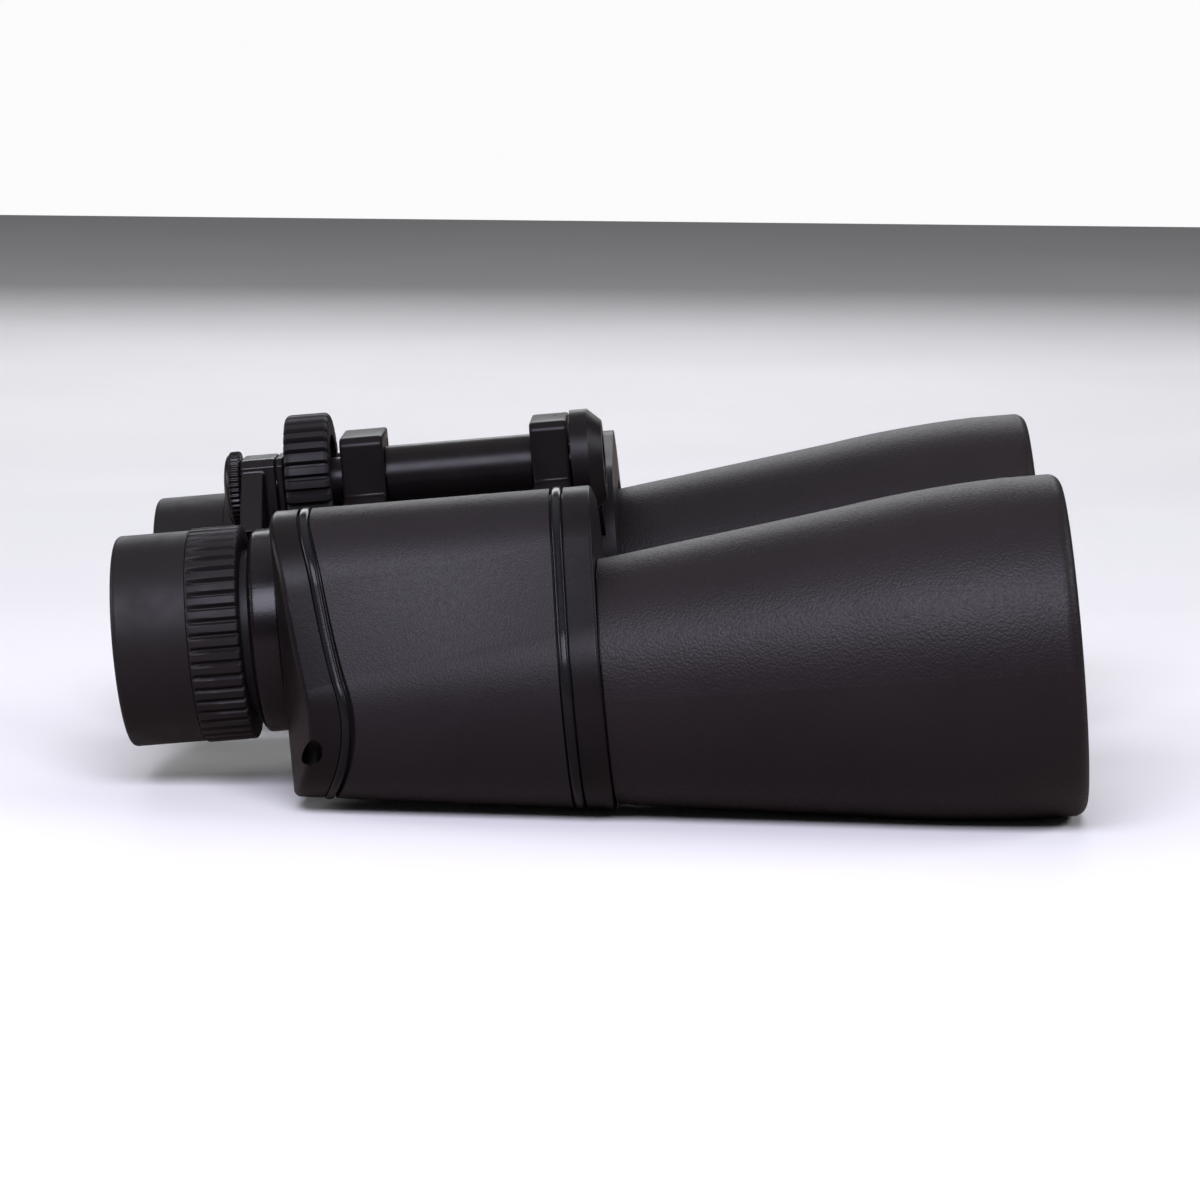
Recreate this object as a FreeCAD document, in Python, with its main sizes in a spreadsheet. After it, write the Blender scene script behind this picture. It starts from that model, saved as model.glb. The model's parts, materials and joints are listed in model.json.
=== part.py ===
"""Porro-prism binoculars, 50 mm objectives, as a parametric FreeCAD document.

Frame: millimetres, +Y forward along the optical axes, +X to the user's right, +Z up.
The origin is the centre of the tripod socket, on the hinge axis at the front of the axle.
The binoculars are stored folded to their smallest eye distance.
"""
import FreeCAD, Part
import math
import os
import Sketcher

Vector = FreeCAD.Vector
Rotation = FreeCAD.Rotation
RIGHT = 1
LEFT = -1

doc = FreeCAD.newDocument("Binoculars")

DIMENSIONS = {
    # the three axes of each telescope, measured outwards and down from the hinge axis
    "objective_out": 52.0, "objective_down": 34.6,
    "eyepiece_out": 28.7, "eyepiece_down": 23.4,
    "corner_out": 45.9, "corner_down": 17.3,
    # outline of the prism housing: one round corner about each axis
    "objective_corner_front": 23.5, "objective_corner_rear": 14.7,
    "corner_radius": 17.8, "eyepiece_corner": 20.0,
    "skin_front": 2.0, "skin_rear": 70.0,
    "armour_thickness": 1.0, "housing_wall": 2.0,
    # stations along the axis, measured back from the front face of the front plate
    "plate_thickness": 5.0, "seam": 0.25, "trim_width": 2.0, "trim_proud": 0.25,
    "cover_back": 58.3, "cover_thickness": 5.0,
    "cover_bend_start": 50.0, "cover_bend_radius": 33.0, "cover_reach": 81.0,
    "cover_round": 1.3, "plate_round": 0.6, "trim_round": 0.8, "pad_front": 1.9, "pad_room": 24.5,
    # hinge: a block lug at each end of the right telescope, a knuckle between them on the left
    "lug_half_width": 8.0, "lug_top": 8.7, "lug_corner": 1.2,
    "rear_lug_back": 48.1, "rear_lug_front": 40.2,
    "front_lug_back": 12.0, "front_lug_front": 5.2,
    "knuckle_radius": 6.0, "knuckle_gap": 0.3,
    "cap_radius": 9.9, "cap_back": 4.6, "cap_front": 1.3, "cap_chamfer": 2.6,
    "cap_slope": 0.9, "cap_web_top": 5.0,
    "web_out": 26.0, "web_top": 5.5, "web_step": 2.5, "web_bottom": 12.0,
    "web_heel_out": 14.0, "web_heel": 16.0, "web_toe": 9.0,
    "web_foot": 3.0, "web_overlap": 1.0, "web_tuck": 0.3, "knuckle_web": 0.8, "housing_relief": 0.05,
    "axle_radius": 3.6, "axle_head": 5.0, "axle_back": 47.9, "axle_bore": 2.3,
    "axle_bore_front": 14.0,
    "socket_radius": 2.6, "socket_depth": 8.0, "running_gap": 0.06,
    # focusing gear
    "spindle_radius": 2.2, "spindle_front": 34.0, "disc_back": 70.1, "disc_front": 67.8,
    "disc_radius": 7.3, "disc_flute": 0.35, "disc_flutes": 36.0,
    "wheel_radius": 13.3, "wheel_back": 58.7, "wheel_front": 49.9, "wheel_round": 1.1,
    "wheel_core_radius": 9.0, "wheel_groove": 0.7, "wheel_grooves": 32.0,
    "wheel_recess": 1.2, "nut_radius": 4.6, "nut_front": 48.4,
    "hub_half": 6.0, "hub_top": 5.9, "hub_corner": 1.4, "right_hub_back": 67.5,
    "right_hub_front": 61.0, "left_hub_back": 60.8, "left_hub_front": 59.3,
    "right_arm_front": 63.2, "left_arm_back": 64.4,
    "hub_bore": 2.28, "arm_half_width": 6.6,
    # eyepieces
    "ring_radius": 18.9, "ring_back": 64.4, "ring_front": 58.65, "ring_bevel": 0.9,
    "tube_radius": 15.2, "tube_bore": 13.4, "tube_back": 76.6, "tube_front": 46.6,
    "collar_bore": 15.28, "collar_radius": 18.2, "collar_front": 50.2,
    "dioptre_radius": 19.9, "dioptre_back": 75.6, "dioptre_front": 65.7, "dioptre_bore": 15.28,
    "dioptre_ribs": 48.0, "dioptre_rib_depth": 0.55, "dioptre_rib_width": 0.5,
    "cup_radius": 19.6, "cup_back": 89.4, "cup_front": 75.65,
    "cup_lip": 1.0, "cup_mouth": 15.8, "cup_floor": 80.9, "cup_seat": 13.2, "cup_shelf": 78.1,
    "cell_radius": 13.34, "cell_bore": 10.9, "cell_back": 80.2, "cell_front": 70.0,
    "cell_lens_front": 76.8, "lens_shoulder": 0.6,
    "plain_drop": 0.5, "arm_reach": 20.0, "swing_radius": 9.6, "swing_gap": 0.2, "dioptre_room": 20.4,
    "dioptre_travel": 1.1, "left_set": 1.2,
    "eye_lens_radius": 10.85, "eye_lens_curve": 26.0, "eye_lens_back": 79.4, "eye_lens_edge": 2.0,
    "field_lens_radius": 13.3, "field_lens_curve": 34.0, "field_lens_back": 53.6,
    "field_lens_edge": 2.0, "stop_bore": 9.5, "stop_back": 58.2, "stop_front": 57.0,
    # porro prisms: each face is twice the shift that the prism gives the light
    "prism_shift": 18.3, "prism_width": 16.0, "rear_prism_face": 27.0, "front_prism_face": 23.7,
    "shelf_back": 26.9, "shelf_front": 23.8, "shelf_gap": 0.2, "light_hole": 8.6,
    "clip_thickness": 0.8, "clip_width": 7.0, "clip_length": 14.0,
    # objective barrels, measured forward from the front plate
    "spigot_radius": 20.0, "spigot_bore": 18.2, "neck_ring_radius": 20.46, "neck_ring": 0.35,
    "barrel_root": 22.25, "cone_end": 45.0, "cone_radius": 28.1, "barrel_bend": 233.0,
    "rim_start": 74.0, "rim_radius": 30.9, "barrel_front": 84.5, "rim_round": 2.4,
    "rubber": 2.0, "lip_bore": 27.4, "lip_back": 80.2, "barrel_wall": 1.7,
    "barrel_end": 80.0, "cell_seat_back": 64.6, "lens_radius": 25.1, "lens_seat": 24.0,
    "crown_curve_front": 110.0, "crown_curve_back": 90.0, "crown_top": 78.4, "crown_bottom": 69.2,
    "flint_back": 66.8, "flint_front": 72.6, "cell_step": 0.1, "glue_gap": 0.03,
    "retainer_front": 79.2, "retainer_back": 75.8, "retainer_slope": 1.0, "retainer_bore": 24.4,
    # small hardware
    "strap_hole": 1.8, "strap_run": 30.0,
    "strap_side_out": 67.7, "strap_side_back": 52.7, "strap_side_down": 40.5,
    "strap_base_out": 46.2, "strap_base_back": 56.2, "strap_base_down": 50.4,
}

sheet = doc.addObject("Spreadsheet::Sheet", "Sizes")
for row, (name, number) in enumerate(DIMENSIONS.items(), start=1):
    sheet.set("A%d" % row, name)
    sheet.set("B%d" % row, str(number))
    sheet.setAlias("B%d" % row, name)
doc.recompute()


class Size:
    """A length that knows both its present value and its expression in the sheet."""

    def __init__(self, value, text):
        self.value = float(value)
        self.text = text

    @staticmethod
    def of(other):
        return other if isinstance(other, Size) else Size(other, repr(float(other)))

    def join(self, other, sign, value):
        return Size(value, "(%s %s %s)" % (self.text, sign, Size.of(other).text))

    def __add__(self, other):
        return self.join(other, "+", self.value + Size.of(other).value)

    def __sub__(self, other):
        return self.join(other, "-", self.value - Size.of(other).value)

    def __mul__(self, other):
        return self.join(other, "*", self.value * Size.of(other).value)

    def __truediv__(self, other):
        return self.join(other, "/", self.value / Size.of(other).value)

    def __neg__(self):
        return Size(-self.value, "(0 - %s)" % self.text)


def dim(name):
    """The named cell of the sheet."""
    return Size(sheet.get(name), "Sizes." + name)


def back(name):
    """The Y station of a size that is measured back from the front plate."""
    return -dim(name)


def bind(thing, field, size):
    """Set one field of an object and tie it to the sheet."""
    size = Size.of(size)
    setattr(thing, field, size.value)
    thing.setExpression(field, size.text)


def place(thing, x=0.0, y=0.0, z=0.0, rotation=None):
    """Put an object at a place that stays tied to the sheet."""
    spots = {"x": Size.of(x), "y": Size.of(y), "z": Size.of(z)}
    base = Vector(spots["x"].value, spots["y"].value, spots["z"].value)
    thing.Placement = FreeCAD.Placement(base, rotation or Rotation())
    for field, size in spots.items():
        thing.setExpression("Placement.Base." + field, size.text)
    return thing


ALONG_Y = Rotation(Vector(1, 0, 0), -90)
TOUCH = 0.01
# how far a cutting tool runs past the face it cuts, and the length of nothing
OVERRUN = 1.0
ZERO = Size(0, "0")


# ---------------------------------------------------------------- sketches
def origin_plane(body, role):
    """One of a body's own origin planes, found by its role."""
    return next(item for item in body.Origin.OriginFeatures if item.Role == role)


def sketch_on(body, role, offset=None):
    """A new sketch on an origin plane of the body, moved along the plane's normal."""
    sketch = body.newObject("Sketcher::SketchObject", "Profile")
    sketch.AttachmentSupport = [(origin_plane(body, role), "")]
    sketch.MapMode = "FlatFace"
    if offset is not None:
        offset = Size.of(offset)
        sketch.AttachmentOffset = FreeCAD.Placement(Vector(0, 0, offset.value), Rotation())
        sketch.setExpression("AttachmentOffset.Base.z", offset.text)
    return sketch


def constrain(sketch, kind, *arguments):
    """Add one driving dimension; its last argument is a Size."""
    size = Size.of(arguments[-1])
    index = sketch.addConstraint(Sketcher.Constraint(kind, *arguments[:-1], size.value))
    sketch.setExpression("Constraints[%d]" % index, size.text)


def arc_between(start, end, radius, side):
    """The circular arc of the given radius from start to end, bulging to one side."""
    chord = end - start
    half = chord.Length / 2
    normal = Vector(-chord.y, chord.x, 0).normalize() * side
    rise = radius - math.sqrt(radius * radius - half * half)
    return Part.Arc(start, start + chord / 2 + normal * rise, end)


def closed_profile(sketch, corners):
    """Draw a closed outline; a corner is (x, y) or (x, y, radius, side) where an arc leaves it."""
    spots = [(Size.of(c[0]), Size.of(c[1])) for c in corners]
    points = [Vector(x.value, y.value, 0) for x, y in spots]
    count = len(corners)
    ends = []
    for index, corner in enumerate(corners):
        start, end = points[index], points[(index + 1) % count]
        if len(corner) == 2:
            sketch.addGeometry(Part.LineSegment(start, end), False)
            ends.append((1, 2))
        else:
            radius = Size.of(corner[2])
            arc = arc_between(start, end, radius.value, corner[3])
            sketch.addGeometry(arc, False)
            forward = sketch.getPoint(index, 1).distanceToPoint(start) < 1e-6
            ends.append((1, 2) if forward else (2, 1))
    for index, corner in enumerate(corners):
        following = (index + 1) % count
        pair = (index, ends[index][1], following, ends[following][0])
        sketch.addConstraint(Sketcher.Constraint("Coincident", *pair))
        x, y = spots[index]
        constrain(sketch, "DistanceX", -1, 1, index, ends[index][0], x)
        constrain(sketch, "DistanceY", -1, 1, index, ends[index][0], y)
        if len(corner) > 2:
            constrain(sketch, "Radius", index, corner[2])


def new_body(label):
    body = doc.addObject("PartDesign::Body", label)
    body.Label = label
    return body


def turned(label, corners, x=0.0, z=0.0):
    """A part turned about an axis along Y; corners are (radius, station along Y)."""
    body = new_body(label)
    sketch = sketch_on(body, "XY_Plane")
    closed_profile(sketch, corners)
    turn = body.newObject("PartDesign::Revolution", "Turn")
    turn.Profile = sketch
    turn.ReferenceAxis = (sketch, ["V_Axis"])
    turn.Angle = 360.0
    body.Tip = turn
    return place(body, x, 0.0, z)


def ring(label, bore, radius, rear, front, x=0.0, z=0.0):
    """A plain turned ring between two stations."""
    return turned(label, [(bore, rear), (radius, rear), (radius, front), (bore, front)], x, z)


def plate(label, corners, rear, front):
    """A flat plate: an outline of (x, z) corners, between two stations along Y."""
    body = new_body(label)
    sketch = sketch_on(body, "XZ_Plane", -front)
    closed_profile(sketch, corners)
    pad = body.newObject("PartDesign::Pad", "Thickness")
    pad.Profile = sketch
    bind(pad, "Length", front - rear)
    body.Tip = pad
    return body


# ---------------------------------------------------------------- Part helpers
def cylinder(label, radius, rear, front, x=0.0, z=0.0):
    """A cylinder along Y between two stations."""
    shape = doc.addObject("Part::Cylinder", label)
    bind(shape, "Radius", radius)
    bind(shape, "Height", Size.of(front) - rear)
    return place(shape, x, rear, z, ALONG_Y)


def ball(label, radius, y, x=0.0, z=0.0):
    shape = doc.addObject("Part::Sphere", label)
    bind(shape, "Radius", radius)
    return place(shape, x, y, z)


def cut(label, base, *tools):
    """The base with every tool taken away."""
    tool = tools[0] if len(tools) == 1 else fuse(label + "_tools", *tools)
    shape = doc.addObject("Part::Cut", label)
    shape.Base, shape.Tool = base, tool
    return named(shape, label)


def fuse(label, *pieces):
    shape = doc.addObject("Part::MultiFuse", label)
    shape.Shapes = list(pieces)
    return named(shape, label)


def common(label, *pieces):
    shape = doc.addObject("Part::MultiCommon", label)
    shape.Shapes = list(pieces)
    return named(shape, label)


def mirrored(label, source):
    """The left-hand copy of a right-hand piece."""
    shape = doc.addObject("Part::Mirroring", label)
    shape.Source = source
    shape.Base = Vector(0, 0, 0)
    shape.Normal = Vector(1, 0, 0)
    return named(shape, label)


def named(shape, label):
    shape.Label = label
    return shape


def parting_y(x, setback):
    """The Y of the curved parting surface at a distance out from the hinge."""
    bend = max(0.0, abs(x) - dim("cover_bend_start").value)
    radius = dim("cover_bend_radius").value
    return -setback + radius - math.sqrt(radius * radius - bend * bend)


def round_loop(label, base, radius, on_loop):
    """Round the edges of a shape whose every sampled point passes the test."""
    doc.recompute()
    edges = []
    for index, edge in enumerate(base.Shape.Edges, start=1):
        if all(on_loop(point) for point in edge.discretize(5)):
            edges.append((index, radius.value, radius.value))
    shape = doc.addObject("Part::Fillet", label)
    shape.Base = base
    shape.Edges = edges
    return named(shape, label)


nodes = {}


def keep(node, shape):
    """Register a finished sub-part under its node name."""
    shape.Label = node
    nodes[node] = shape
    return shape


def keep_pair(node, right_shape):
    """Keep a right-hand piece and its left-hand mirror image."""
    keep(node + "_right", right_shape)
    keep(node + "_left", mirrored(node + "_left", right_shape))


# ---------------------------------------------------------------- the housing's outer form
def outline(inset, objective_corner):
    """Centres and radii of the outline's three corners, drawn in by inset."""
    return [
        (dim("eyepiece_out"), -dim("eyepiece_down"), dim("eyepiece_corner") - inset),
        (dim("objective_out"), -dim("objective_down"), dim(objective_corner) - inset),
        (dim("corner_out"), -dim("corner_down"), dim("corner_radius") - inset),
    ]


def belt_sketch(name, inset, objective_corner, station):
    """The belt that wraps three circles, as tangent arcs and lines in an XZ plane."""
    sketch = doc.addObject("Sketcher::SketchObject", name)
    upright = Rotation(Vector(1, 0, 0), 90)
    place(sketch, 0.0, station, 0.0, upright)
    circles = outline(inset, objective_corner)
    centres = [Vector(x.value, z.value, 0) for x, z, radius in circles]
    radii = [radius.value for x, z, radius in circles]
    angles = []
    for index in range(3):
        step = centres[(index + 1) % 3] - centres[index]
        lean = math.asin((radii[index] - radii[(index + 1) % 3]) / step.Length)
        angles.append(math.atan2(step.y, step.x) - math.pi / 2 + lean)
    for index in range(3):
        circle = Part.Circle(centres[index], Vector(0, 0, 1), radii[index])
        sketch.addGeometry(Part.ArcOfCircle(circle, angles[index - 1], angles[index]), False)
    for index in range(3):
        following = (index + 1) % 3
        start = sketch.getPoint(index, 2)
        end = sketch.getPoint(following, 1)
        line = sketch.addGeometry(Part.LineSegment(start, end), False)
        sketch.addConstraint(Sketcher.Constraint("Tangent", index, 2, line, 1))
        sketch.addConstraint(Sketcher.Constraint("Tangent", line, 2, following, 1))
    for index, (x, z, radius) in enumerate(circles):
        constrain(sketch, "Radius", index, radius)
        constrain(sketch, "DistanceX", -1, 1, index, 3, x)
        constrain(sketch, "DistanceY", -1, 1, index, 3, z)
    return sketch


def skin(name, inset):
    """The solid inside the housing's outer form, drawn in all round by inset."""
    rear = belt_sketch(name + "_rear", inset, "objective_corner_rear", back("skin_rear"))
    front = belt_sketch(name + "_front", inset, "objective_corner_front", dim("skin_front"))
    loft = doc.addObject("Part::Loft", name)
    loft.Sections = [rear, front]
    loft.Solid = True
    loft.Ruled = True
    return loft


def ahead_of(name, setback):
    """The space in front of the curved parting surface that lies setback behind the plate."""
    body = new_body(name)
    sketch = sketch_on(body, "XY_Plane")
    reach = dim("cover_reach")
    start = dim("cover_bend_start")
    radius = dim("cover_bend_radius")
    run = reach - start
    fall = radius.value - math.sqrt(radius.value ** 2 - run.value ** 2)
    fall_text = "(%s - sqrt(%s ^ 2 - %s ^ 2))" % (radius.text, radius.text, run.text)
    outer_end = Size(fall, fall_text) - setback
    closed_profile(sketch, [
        (-dim("cover_reach"), -setback),
        (start, -setback, radius, -1),
        (reach, outer_end),
        (reach, dim("cover_reach")),
        (-dim("cover_reach"), dim("cover_reach")),
    ])
    pad = body.newObject("PartDesign::Pad", "Height")
    pad.Profile = sketch
    pad.Midplane = True
    bind(pad, "Length", dim("cover_reach") * 2.0)
    body.Tip = pad
    return body


def behind(name, front):
    """All the space behind a station, large enough to hold one telescope's housing."""
    return cylinder(name, dim("cover_reach") * 2.0, -dim("cover_reach") * 2.0, front)


objective_x, objective_z = dim("objective_out"), -dim("objective_down")
eyepiece_x, eyepiece_z = dim("eyepiece_out"), -dim("eyepiece_down")
corner_x, corner_z = dim("corner_out"), -dim("corner_down")
armour = dim("armour_thickness")
cover_front = dim("cover_back") - dim("cover_thickness")
trim_back = cover_front - dim("seam")
trim_front = trim_back - dim("trim_width")
armour_back = trim_front - dim("seam")
front_trim_front = dim("plate_thickness") + dim("seam")
front_trim_back = front_trim_front + dim("trim_width")

outer_skin = skin("outer_skin", ZERO)
proud_skin = skin("proud_skin", -dim("trim_proud"))
under_skin = skin("under_skin", armour)
housing_cavity = skin("housing_cavity", armour + dim("housing_wall"))
ahead_of_cover_back = ahead_of("ahead_of_cover_back", dim("cover_back"))
ahead_of_cover_front = ahead_of("ahead_of_cover_front", cover_front)
ahead_of_trim_back = ahead_of("ahead_of_trim_back", trim_back)
ahead_of_trim_front = ahead_of("ahead_of_trim_front", trim_front)
ahead_of_armour_back = ahead_of("ahead_of_armour_back", armour_back)


# ---------------------------------------------------------------- hinge lugs
def lug_corners(side, top_out):
    """The lug block on the hinge axis and its web to the housing, as (x, z) corners."""
    width = dim("lug_half_width")
    corners = [
        (-width, dim("lug_top")), (top_out, dim("lug_top")),
        (width, dim("lug_top") - dim("lug_corner")), (width, -dim("web_step")),
        (dim("web_out"), -dim("web_top")),
        (dim("web_out"), -dim("web_bottom")), (dim("web_heel_out"), -dim("web_heel")),
        (-dim("web_step"), -dim("web_toe")), (-width, -dim("lug_corner") * 4.0),
    ]
    return [(Size.of(side) * x, z) for x, z in corners]


def web_corners(side):
    """The web that joins a round knuckle on the hinge axis to the housing."""
    radius = dim("knuckle_radius")
    corners = [
        (ZERO, radius * dim("knuckle_web")), (dim("web_out"), -dim("web_top")),
        (dim("web_out"), -dim("web_bottom")), (dim("web_heel_out"), -dim("web_heel")),
        (ZERO, -radius * dim("knuckle_web")),
    ]
    return [(Size.of(side) * x, z) for x, z in corners]


def lug(name, rear, front):
    """One block lug of the right telescope, bored for the axle."""
    corners = lug_corners(RIGHT, dim("lug_half_width") - dim("lug_corner"))
    block = plate(name + "_block", corners, rear, front)
    bore = cylinder(name + "_bore", dim("axle_radius"), rear - OVERRUN, front + OVERRUN)
    return cut(name, block, bore)


# ---------------------------------------------------------------- right and left housings
def housing_sleeve(name):
    """The hollow wall of the prism housing, open at both ends."""
    wall = cut(name + "_wall", under_skin, housing_cavity)
    front_limit = behind(name + "_front_limit", -dim("plate_thickness") - dim("housing_relief"))
    return common(name, wall, ahead_of_cover_front, front_limit)


def make_housings():
    sleeve = housing_sleeve("sleeve")
    rear_lug = lug("rear_lug", back("rear_lug_back"), back("rear_lug_front"))
    front_lug = lug("front_lug", back("front_lug_back"), back("front_lug_front"))
    lugs = cut("lugs", fuse("both_lugs", rear_lug, front_lug), housing_cavity)
    keep("prism_housing_right", fuse("prism_housing_right", sleeve, lugs))

    gap = dim("knuckle_gap")
    rear = back("rear_lug_front") + gap
    front = back("front_lug_back") - gap
    tube = cylinder("knuckle_tube", dim("knuckle_radius"), rear, front)
    web = plate("knuckle_web", web_corners(LEFT), rear, front)
    bore = cylinder("knuckle_bore", dim("axle_radius") + dim("running_gap"),
                    rear - OVERRUN, front + OVERRUN)
    cavity = mirrored("left_cavity", housing_cavity)
    knuckle = cut("knuckle", fuse("knuckle_solid", tube, web), bore, cavity)
    left_sleeve = mirrored("left_sleeve", sleeve)
    keep("prism_housing_left", fuse("prism_housing_left", left_sleeve, knuckle))


def make_wraps():
    """The leather-grained armour and the two polished trim beads of each housing."""
    wrap = cut("wrap", outer_skin, under_skin)
    limit = behind("armour_limit", -front_trim_back - dim("seam"))
    armour_sleeve = common("armour_sleeve", wrap, ahead_of_armour_back, limit)
    keep_pair("housing_armour", cut("housing_armour_right", armour_sleeve, lug_clearance()))

    rear_bead = common("rear_bead_block", proud_skin, ahead_of_trim_back)
    rear_bead = cut("rear_bead", rear_bead, ahead_of_trim_front)
    seams = (trim_back.value, trim_front.value)
    rear_bead = round_loop("rear_bead_rounded", rear_bead, dim("trim_round"),
                           lambda p: any(abs(p.y - parting_y(p.x, s)) < TOUCH for s in seams))
    keep_pair("rear_trim", cut("rear_trim_right", rear_bead, under_skin))
    front_limit = behind("front_bead_limit", -front_trim_front)
    rear_limit = behind("front_bead_back", -front_trim_back)
    front_bead = cut("front_bead", common("front_bead_block", proud_skin, front_limit), rear_limit)
    edges = (front_trim_front.value, front_trim_back.value)
    front_bead = round_loop("front_bead_rounded", front_bead, dim("trim_round"),
                            lambda p: any(abs(p.y + edge) < TOUCH for edge in edges))
    room = fuse("front_trim_room", lug_clearance("front_trim_clearance"), under_skin)
    keep_pair("front_trim", cut("front_trim_right", front_bead, room))


def lug_clearance(name="armour_clearance"):
    """The windows that the armour leaves for the lugs and the knuckle's web."""
    play = dim("seam")
    corners = lug_corners(RIGHT, dim("lug_half_width") - dim("lug_corner"))
    rear = plate(name + "_rear", corners, back("rear_lug_back") - play, back("rear_lug_front") + play)
    front = plate(name + "_front", corners, back("front_lug_back") - play, back("front_lug_front") + play)
    middle = plate(name + "_middle", web_corners(RIGHT), back("rear_lug_front"), back("front_lug_back"))
    return fuse(name, rear, front, middle)


def strap_hole(name):
    """The strap hole, which runs from the cover's outer side to its underside."""
    side = Vector(*[dim("strap_side_" + way).value for way in ("out", "back", "down")])
    base = Vector(*[dim("strap_base_" + way).value for way in ("out", "back", "down")])
    side.y, side.z, base.y, base.z = -side.y, -side.z, -base.y, -base.z
    hole = doc.addObject("Part::Cylinder", name)
    bind(hole, "Radius", dim("strap_hole"))
    bind(hole, "Height", dim("strap_run"))
    rotation = Rotation(Vector(0, 0, 1), base - side)
    start = (side + base) / 2 - rotation.multVec(Vector(0, 0, dim("strap_run").value / 2))
    hole.Placement = FreeCAD.Placement(start, rotation)
    return hole


def make_covers():
    """The curved rear cover with its eyepiece collar, and the front plate with its neck."""
    slab = cut("cover_slab", common("cover_block", outer_skin, ahead_of_cover_back), ahead_of_cover_front)
    collar = cylinder("guide_collar", dim("collar_radius"), -dim("cover_back"), back("collar_front"),
                      eyepiece_x, eyepiece_z)
    collar_inside = common("guide_collar_inside", collar, housing_room("collar_room", dim("seam")))
    bore = cylinder("guide_bore", dim("collar_bore"), -dim("cover_back") - OVERRUN, dim("skin_front"),
                    eyepiece_x, eyepiece_z)
    setback = dim("cover_back").value
    slab = round_loop("cover_rounded", slab, dim("cover_round"),
                      lambda p: abs(p.y - parting_y(p.x, setback)) < TOUCH)
    solid = fuse("cover_solid", slab, collar_inside)
    keep_pair("rear_cover", cut("rear_cover_right", solid, bore, strap_hole("strap_hole")))

    front_limit = behind("plate_front_limit", ZERO)
    rear_limit = behind("plate_rear_limit", back("plate_thickness"))
    flange = cut("flange", common("flange_block", outer_skin, front_limit), rear_limit)
    neck = cylinder("neck_bore", dim("spigot_radius"), back("plate_thickness") - OVERRUN, dim("skin_front"),
                    objective_x, objective_z)
    flange = round_loop("flange_rounded", flange, dim("plate_round"), lambda p: abs(p.y) < TOUCH)
    front_right = cut("front_plate_right", flange, neck)
    keep("front_plate_right", front_right)

    cap = turned("cap_disc", [
        (dim("axle_head") + dim("running_gap"), back("cap_back")), (dim("cap_radius"), back("cap_back")),
        (dim("cap_radius"), dim("cap_front") - dim("cap_chamfer")),
        (dim("cap_radius") - dim("cap_chamfer") * dim("cap_slope"), dim("cap_front")),
        (dim("axle_head") + dim("running_gap"), dim("cap_front")),
    ])
    reach = dim("web_out")
    web = plate("cap_web", [
        (ZERO, dim("cap_web_top")), (-reach, -dim("web_top") + dim("web_overlap")),
        (-reach, -dim("web_heel")), (-dim("web_heel_out"), -dim("web_heel") - dim("web_foot")),
        (-dim("web_step"), -dim("cap_radius") + dim("web_tuck")),
    ], back("cap_back"), ZERO)
    clear = cylinder("cap_web_bore", dim("cap_radius") - dim("web_overlap"),
                     back("cap_back") - OVERRUN, dim("skin_front"))
    barrel_room = cylinder("barrel_room", dim("pad_room"), ZERO, dim("skin_front"),
                           objective_x, objective_z)
    thick = common("thick_block", outer_skin, behind("pad_front_limit", dim("pad_front")))
    left_flange = mirrored("left_flange", cut("thick_flange", thick, rear_limit, neck, barrel_room))
    neck_left = cylinder("neck_bore_left", dim("spigot_radius"), back("plate_thickness") - OVERRUN,
                         dim("skin_front"), -objective_x, objective_z)
    keep("front_plate_left",
         fuse("front_plate_left", left_flange, cut("cap_web_cut", web, clear, neck_left), cap))


def housing_room(name, gap):
    """The inside of the housing, less a gap all round."""
    return skin(name, armour + dim("housing_wall") + gap)


# ---------------------------------------------------------------- prisms
def prism(name, near, far, face, direction):
    """A porro prism whose long face spans two axes; its apex points along Y by direction."""
    shift = dim("prism_shift")
    body = new_body(name)
    sketch = sketch_on(body, "XY_Plane")
    closed_profile(sketch, [(-shift, ZERO), (shift, ZERO), (ZERO, shift * float(direction))])
    pad = body.newObject("PartDesign::Pad", "Width")
    pad.Profile = sketch
    pad.Midplane = True
    bind(pad, "Length", dim("prism_width"))
    body.Tip = pad
    tilt = math.degrees(math.atan2(far[1].value - near[1].value, far[0].value - near[0].value))
    middle = [(near[index] + far[index]) / 2.0 for index in range(2)]
    return place(body, middle[0], face, middle[1], Rotation(Vector(0, 1, 0), -tilt))


def clip(name, x, z, rear, front, tilt):
    """A flat spring strip that presses on a prism's apex."""
    strip = doc.addObject("Part::Box", name)
    bind(strip, "Length", dim("clip_length"))
    bind(strip, "Width", Size.of(front) - rear)
    bind(strip, "Height", dim("clip_width"))
    rotation = Rotation(Vector(0, 1, 0), -tilt)
    half = rotation.multVec(Vector(-dim("clip_length").value / 2, 0, -dim("clip_width").value / 2))
    strip.Placement = FreeCAD.Placement(Vector(x + half.x, Size.of(rear).value, z + half.z), rotation)
    return strip


def make_prisms():
    objective = (objective_x, objective_z)
    corner = (corner_x, corner_z)
    eyepiece = (eyepiece_x, eyepiece_z)
    keep_pair("rear_prism", prism("rear_prism_right", objective, corner, back("rear_prism_face"), -1))
    keep_pair("front_prism", prism("front_prism_right", eyepiece, corner, back("front_prism_face"), 1))

    room = housing_room("shelf_room", dim("shelf_gap"))
    rear_limit = behind("shelf_rear", back("shelf_back"))
    block = cut("shelf_block", common("shelf_slice", room, behind("shelf_front_limit", back("shelf_front"))),
                rear_limit)
    holes = [cylinder("light_hole_%d" % index, dim("light_hole"), back("shelf_back") - OVERRUN,
                      back("shelf_front") + OVERRUN, x, z)
             for index, (x, z) in enumerate((objective, corner, eyepiece))]
    keep_pair("prism_shelf", cut("prism_shelf_right", block, *holes))


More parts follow.
